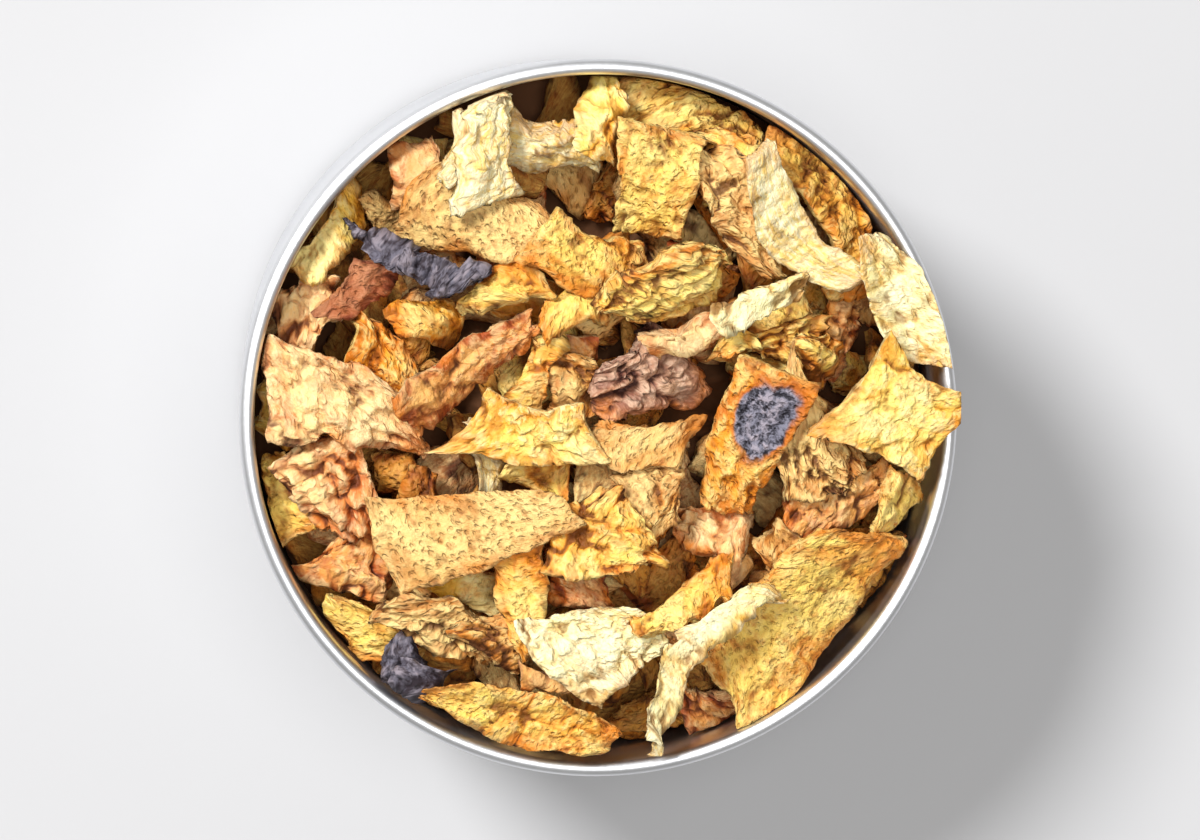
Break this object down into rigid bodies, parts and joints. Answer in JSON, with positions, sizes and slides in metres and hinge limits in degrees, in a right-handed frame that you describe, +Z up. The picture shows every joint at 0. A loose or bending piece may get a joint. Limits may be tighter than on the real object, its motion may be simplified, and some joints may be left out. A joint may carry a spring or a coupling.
{
  "type": "tin of dried orange peel",
  "caption": "Round shallow aluminium tin with a rolled edge, open at the top and heaped to the rim with dried cut orange peel.",
  "frame": {"origin": "middle of the tin's base, on the plane that the tin stands on", "axes": "+Z up, along the tin's axis of turning; +Y is away from a person who looks down into the tin and +X is to their right"},
  "size_m": [0.08, 0.08, 0.0456],
  "materials": {
    "tin": "satin",
    "dried_peel": "matte"
  },
  "bodies": {
    "root": {"tin": "tin", "peel_heap": "dried_peel"}
  },
  "joints": []
}
